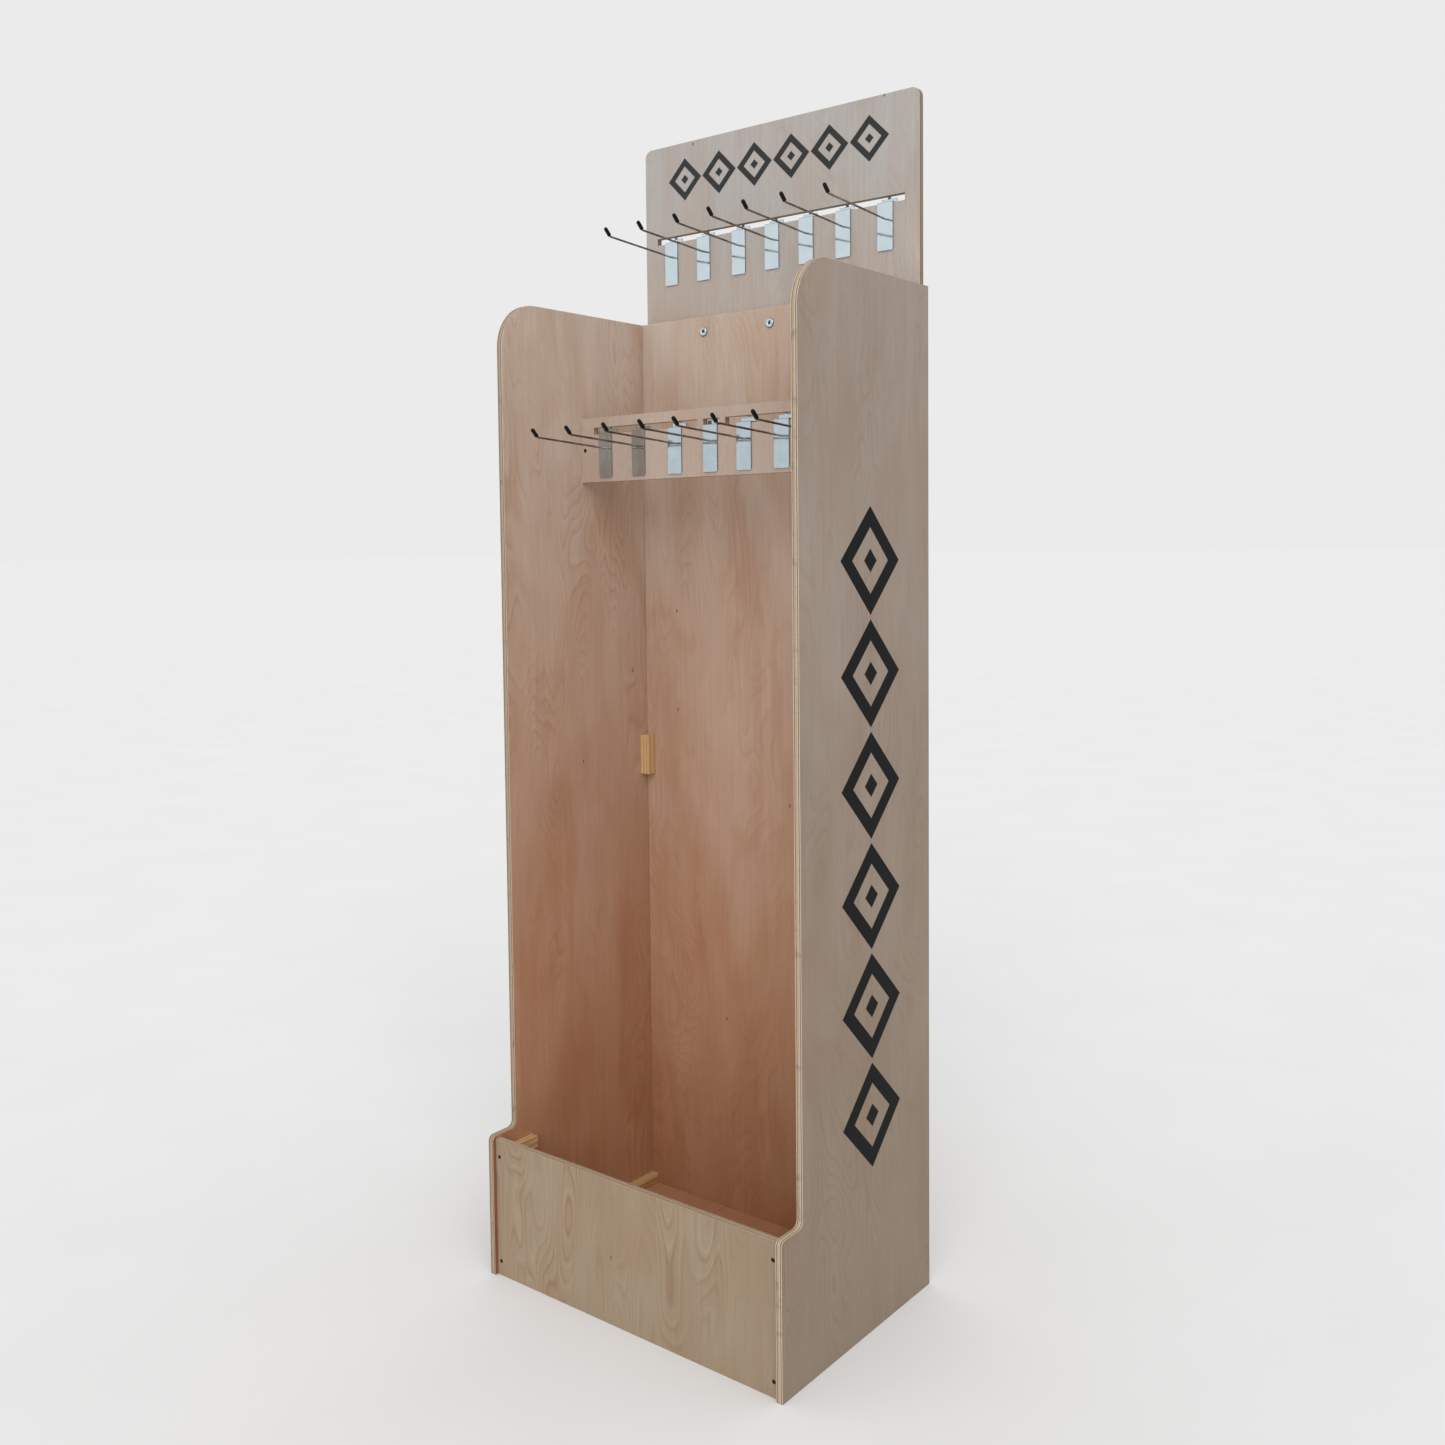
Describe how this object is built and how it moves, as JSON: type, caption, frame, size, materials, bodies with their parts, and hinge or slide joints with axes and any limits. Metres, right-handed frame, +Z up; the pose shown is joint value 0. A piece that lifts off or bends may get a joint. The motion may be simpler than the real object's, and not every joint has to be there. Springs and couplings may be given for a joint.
{
  "type": "display stand",
  "caption": "Free-standing plywood display stand with side panels, a trough at the foot, a slotted hook rail, a slotted header and sliding wire hooks.",
  "frame": {"origin": "on the floor, under the centre of the bounding box", "axes": "+Z up, the open front faces -Y, +X to the right seen from the front"},
  "size_m": [0.6243, 0.4444, 2.005],
  "materials": {
    "plywood": "bare sanded plywood",
    "pine": "planed pine",
    "zinc_steel": "bright zinc plated",
    "screw_steel": "dark zinc plated",
    "black_plastic": "moulded satin",
    "black_film": "matt vinyl film"
  },
  "bodies": {
    "stand": {"left_side_panel": "plywood", "right_side_panel": "plywood", "back_panel": "plywood", "header_panel": "plywood", "hook_rail": "plywood", "front_panel": "plywood", "base_panel": "plywood", "corner_blocks": "pine", "base_cleats": "pine", "front_cleats": "pine", "rail_cleats": "pine", "front_screws": "screw_steel", "rail_screws": "screw_steel", "back_screws": "screw_steel", "header_bolts": "zinc_steel", "header_cap_nuts": "zinc_steel", "header_graphic": "black_film", "side_graphic": "black_film"},
    "header_hook_1": {"header_plate_1": "zinc_steel", "header_prong_1": "zinc_steel", "header_cap_1": "black_plastic"},
    "header_hook_2": {"header_plate_2": "zinc_steel", "header_prong_2": "zinc_steel", "header_cap_2": "black_plastic"},
    "header_hook_3": {"header_plate_3": "zinc_steel", "header_prong_3": "zinc_steel", "header_cap_3": "black_plastic"},
    "header_hook_4": {"header_plate_4": "zinc_steel", "header_prong_4": "zinc_steel", "header_cap_4": "black_plastic"},
    "header_hook_5": {"header_plate_5": "zinc_steel", "header_prong_5": "zinc_steel", "header_cap_5": "black_plastic"},
    "header_hook_6": {"header_plate_6": "zinc_steel", "header_prong_6": "zinc_steel", "header_cap_6": "black_plastic"},
    "header_hook_7": {"header_plate_7": "zinc_steel", "header_prong_7": "zinc_steel", "header_cap_7": "black_plastic"},
    "rail_hook_1": {"rail_plate_1": "zinc_steel", "rail_prong_1": "zinc_steel", "rail_cap_1": "black_plastic"},
    "rail_hook_2": {"rail_plate_2": "zinc_steel", "rail_prong_2": "zinc_steel", "rail_cap_2": "black_plastic"},
    "rail_hook_3": {"rail_plate_3": "zinc_steel", "rail_prong_3": "zinc_steel", "rail_cap_3": "black_plastic"},
    "rail_hook_4": {"rail_plate_4": "zinc_steel", "rail_prong_4": "zinc_steel", "rail_cap_4": "black_plastic"},
    "rail_hook_5": {"rail_plate_5": "zinc_steel", "rail_prong_5": "zinc_steel", "rail_cap_5": "black_plastic"},
    "rail_hook_6": {"rail_plate_6": "zinc_steel", "rail_prong_6": "zinc_steel", "rail_cap_6": "black_plastic"},
    "rail_hook_7": {"rail_plate_7": "zinc_steel", "rail_prong_7": "zinc_steel", "rail_cap_7": "black_plastic"}
  },
  "joints": [
    {"name": "header_hook_1_slide", "type": "slide", "parent": "stand", "child": "header_hook_1", "axis": [1, 0, 0], "range_m": [-0.0183, 0.0231]},
    {"name": "header_hook_2_slide", "type": "slide", "parent": "stand", "child": "header_hook_2", "axis": [1, 0, 0], "range_m": [-0.0231, 0.0253]},
    {"name": "header_hook_3_slide", "type": "slide", "parent": "stand", "child": "header_hook_3", "axis": [1, 0, 0], "range_m": [-0.0253, 0.0218]},
    {"name": "header_hook_4_slide", "type": "slide", "parent": "stand", "child": "header_hook_4", "axis": [1, 0, 0], "range_m": [-0.0218, 0.0213]},
    {"name": "header_hook_5_slide", "type": "slide", "parent": "stand", "child": "header_hook_5", "axis": [1, 0, 0], "range_m": [-0.0213, 0.023]},
    {"name": "header_hook_6_slide", "type": "slide", "parent": "stand", "child": "header_hook_6", "axis": [1, 0, 0], "range_m": [-0.023, 0.0266]},
    {"name": "header_hook_7_slide", "type": "slide", "parent": "stand", "child": "header_hook_7", "axis": [1, 0, 0], "range_m": [-0.0266, 0.0208]},
    {"name": "rail_hook_1_slide", "type": "slide", "parent": "stand", "child": "rail_hook_1", "axis": [1, 0, 0], "range_m": [-0.0133, 0.0238]},
    {"name": "rail_hook_2_slide", "type": "slide", "parent": "stand", "child": "rail_hook_2", "axis": [1, 0, 0], "range_m": [-0.0238, 0.0263]},
    {"name": "rail_hook_3_slide", "type": "slide", "parent": "stand", "child": "rail_hook_3", "axis": [1, 0, 0], "range_m": [-0.0263, 0.0333]},
    {"name": "rail_hook_4_slide", "type": "slide", "parent": "stand", "child": "rail_hook_4", "axis": [1, 0, 0], "range_m": [0, 0.0026]},
    {"name": "rail_hook_5_slide", "type": "slide", "parent": "stand", "child": "rail_hook_5", "axis": [1, 0, 0], "range_m": [-0.0238, 0.023]},
    {"name": "rail_hook_6_slide", "type": "slide", "parent": "stand", "child": "rail_hook_6", "axis": [1, 0, 0], "range_m": [-0.023, 0.0233]},
    {"name": "rail_hook_7_slide", "type": "slide", "parent": "stand", "child": "rail_hook_7", "axis": [1, 0, 0], "range_m": [-0.0233, 0.0303]}
  ]
}
